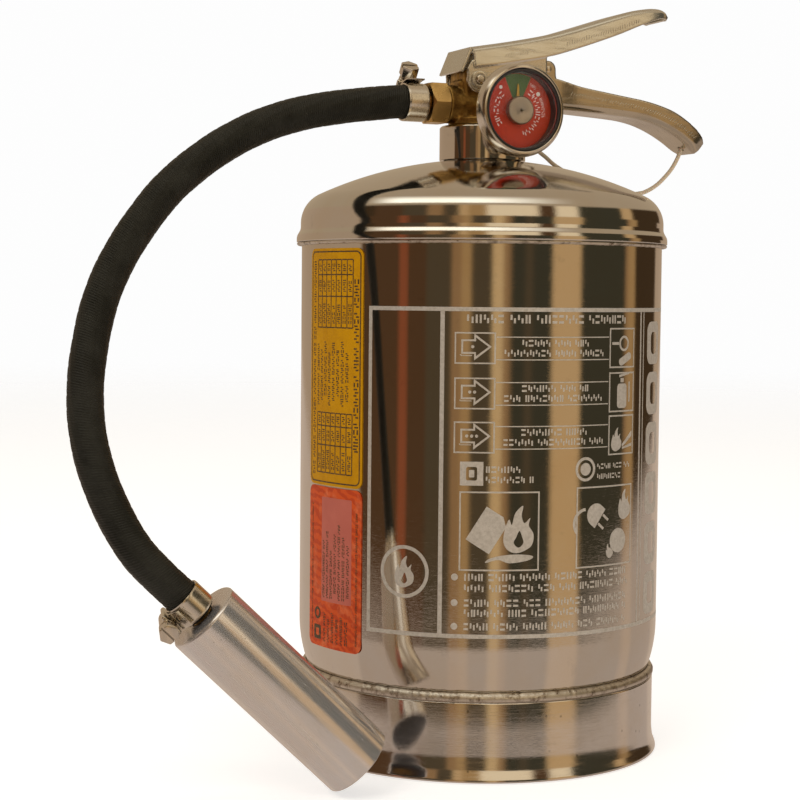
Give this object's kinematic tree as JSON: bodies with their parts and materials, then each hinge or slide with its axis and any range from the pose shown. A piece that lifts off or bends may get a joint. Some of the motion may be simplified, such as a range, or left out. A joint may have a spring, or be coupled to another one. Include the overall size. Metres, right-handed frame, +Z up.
{
  "type": "fire extinguisher",
  "caption": "Portable stored-pressure fire extinguisher: steel cylinder with foot ring, squeeze lever over a carry handle, pressure gauge, safety pin, hose and straight nozzle.",
  "frame": {"origin": "on the floor under the middle of the cylinder and carry handle together, hose and nozzle left out", "axes": "+Z up, +X along the carry handle, gauge facing -Y, hose leaving towards -X"},
  "size_m": [0.2939, 0.1568, 0.316],
  "materials": {
    "polished_steel": "mirror-polished stainless steel",
    "weld_steel": "rough weld bead",
    "stamped_steel": "tumbled stainless steel",
    "turned_steel": "turned face",
    "spring_steel": "plain spring steel",
    "cast_brass": "rough-cast brass",
    "turned_brass": "turned brass",
    "seal_rubber": "moulded rubber",
    "hose_rubber": "wrapped black rubber",
    "black_plastic": "moulded black plastic",
    "gauge_glass": "clear lens",
    "dial_print": "printed red dial with a green sector",
    "needle_yellow": "painted pointer",
    "brushed_aluminium": "scratched satin aluminium",
    "siphon_plastic": "extruded plastic",
    "tether_plastic": "ivory plastic cord",
    "yellow_label": "printed sticker",
    "orange_label": "printed sticker",
    "clamp_steel": "zinc-plated steel"
  },
  "bodies": {
    "extinguisher": {"body_shell": "polished_steel", "bourdon_coil": "turned_brass", "carry_handle": "stamped_steel", "foot_ring": "polished_steel", "foot_weld": "weld_steel", "gauge_bezel": "polished_steel", "gauge_case": "stamped_steel", "gauge_dial": "dial_print", "gauge_gasket": "black_plastic", "gauge_hub": "turned_steel", "gauge_lens": "gauge_glass", "gauge_stem": "turned_brass", "handle_rivet": "stamped_steel", "hose": "hose_rubber", "hose_fitting": "turned_brass", "lever_pivot_pin": "stamped_steel", "lower_clamp_band": "clamp_steel", "lower_clamp_housing": "clamp_steel", "lower_clamp_screw": "clamp_steel", "neck_oring": "seal_rubber", "neck_sleeve": "polished_steel", "nozzle_barb": "turned_brass", "nozzle_horn": "brushed_aluminium", "nozzle_orifice": "turned_brass", "pin_tether": "tether_plastic", "pivot_clip": "spring_steel", "seam_weld": "weld_steel", "service_label": "orange_label", "siphon_adapter": "turned_brass", "siphon_tube": "siphon_plastic", "stem_oring": "seal_rubber", "top_dome": "polished_steel", "upper_clamp_band": "clamp_steel", "upper_clamp_housing": "clamp_steel", "upper_clamp_screw": "clamp_steel", "valve_body": "cast_brass", "valve_spring": "spring_steel", "warranty_label": "yellow_label"},
    "lever": {"operating_lever": "stamped_steel"},
    "stem": {"valve_stem": "turned_brass", "stem_seal": "seal_rubber"},
    "pin": {"safety_pin": "stamped_steel"},
    "ring": {"pull_ring": "stamped_steel"},
    "needle": {"gauge_needle": "needle_yellow"}
  },
  "joints": [
    {"name": "lever_press", "type": "hinge", "parent": "extinguisher", "child": "lever", "pos_m": [-0.0207, 0, 0.2807], "axis": [0, 1, 0], "range_deg": [0, 12], "stiffness_Nm_per_rad": 1, "springref_deg": -17.19},
    {"name": "stem_slide", "type": "slide", "parent": "extinguisher", "child": "stem", "axis": [0, 0, -1], "range_m": [0, 0.0018], "stiffness_N_per_m": 150, "springref_m": -0.002, "deforming": ["valve_spring"]},
    {"name": "safety_pin_pull", "type": "slide", "parent": "extinguisher", "child": "pin", "axis": [0, 1, 0], "range_m": [0, 0.045]},
    {"name": "pull_ring_swing", "type": "hinge", "parent": "pin", "child": "ring", "pos_m": [0.0127, 0.0193, 0.2871], "axis": [1, 0, 0], "range_deg": [-12, 75]},
    {"name": "gauge_needle_turn", "type": "hinge", "parent": "extinguisher", "child": "needle", "pos_m": [-0.0136, -0.0321, 0.2664], "axis": [0, 1, 0], "range_deg": [-95, 95], "stiffness_Nm_per_rad": 0.002}
  ],
  "couplings": [
    {"joint": "stem_slide", "follows": "lever_press", "m_per_rad": 0.008}
  ]
}
